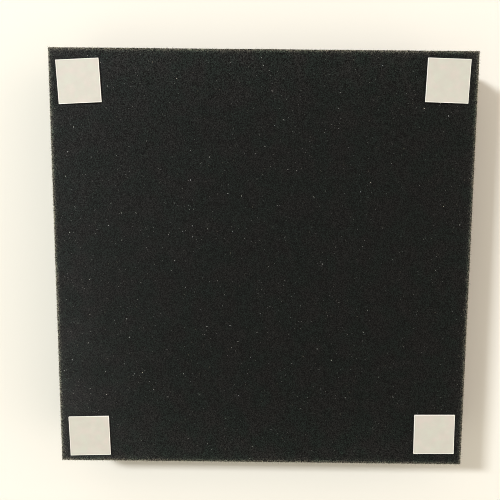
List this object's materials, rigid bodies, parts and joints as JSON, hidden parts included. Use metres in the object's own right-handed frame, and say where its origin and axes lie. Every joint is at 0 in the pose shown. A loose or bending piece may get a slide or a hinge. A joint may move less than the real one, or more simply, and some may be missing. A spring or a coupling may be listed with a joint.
{
  "type": "acoustic foam panel",
  "caption": "Square charcoal acoustic foam tile with a flat back, wedge ridges on its front and a square of double-sided tape under a peel-off liner at each back corner.",
  "frame": {"origin": "the middle of the tile on the plane of its ridge crests, as it lies face down", "axes": "+Z out of the flat back that goes against the wall, +X across the ridges, +Y along the ridges; seen from behind with +Y up, top_left is at -X and +Y"},
  "size_m": [0.3048, 0.3048, 0.0519],
  "materials": {
    "foam": "matte",
    "adhesive": "gloss",
    "tape_core": "matte",
    "liner": "satin"
  },
  "bodies": {
    "panel": {"foam_panel": "foam", "panel_adhesive_top_left": "adhesive", "tape_core_top_left": "tape_core", "wall_adhesive_top_left": "adhesive", "panel_adhesive_top_right": "adhesive", "tape_core_top_right": "tape_core", "wall_adhesive_top_right": "adhesive", "panel_adhesive_bottom_left": "adhesive", "tape_core_bottom_left": "tape_core", "wall_adhesive_bottom_left": "adhesive", "panel_adhesive_bottom_right": "adhesive", "tape_core_bottom_right": "tape_core", "wall_adhesive_bottom_right": "adhesive"},
    "liner_top_left": {"release_liner_top_left": "liner"},
    "liner_top_right": {"release_liner_top_right": "liner"},
    "liner_bottom_left": {"release_liner_bottom_left": "liner"},
    "liner_bottom_right": {"release_liner_bottom_right": "liner"}
  },
  "joints": [
    {"name": "peel_top_left", "type": "hinge", "parent": "panel", "child": "liner_top_left", "pos_m": [-0.11627, 0.1303, 0.05192], "axis": [-0.0523, 0.9986, 0], "range_deg": [0, 160]},
    {"name": "peel_top_right", "type": "hinge", "parent": "panel", "child": "liner_top_right", "pos_m": [0.11576, 0.13255, 0.05192], "axis": [-0.0297, -0.9996, 0], "range_deg": [0, 160]},
    {"name": "peel_bottom_left", "type": "hinge", "parent": "panel", "child": "liner_bottom_left", "pos_m": [-0.11536, -0.13197, 0.05192], "axis": [-0.0279, 0.9996, 0], "range_deg": [0, 160]},
    {"name": "peel_bottom_right", "type": "hinge", "parent": "panel", "child": "liner_bottom_right", "pos_m": [0.11605, -0.12856, 0.05192], "axis": [0.0105, -0.9999, 0], "range_deg": [0, 160]}
  ]
}
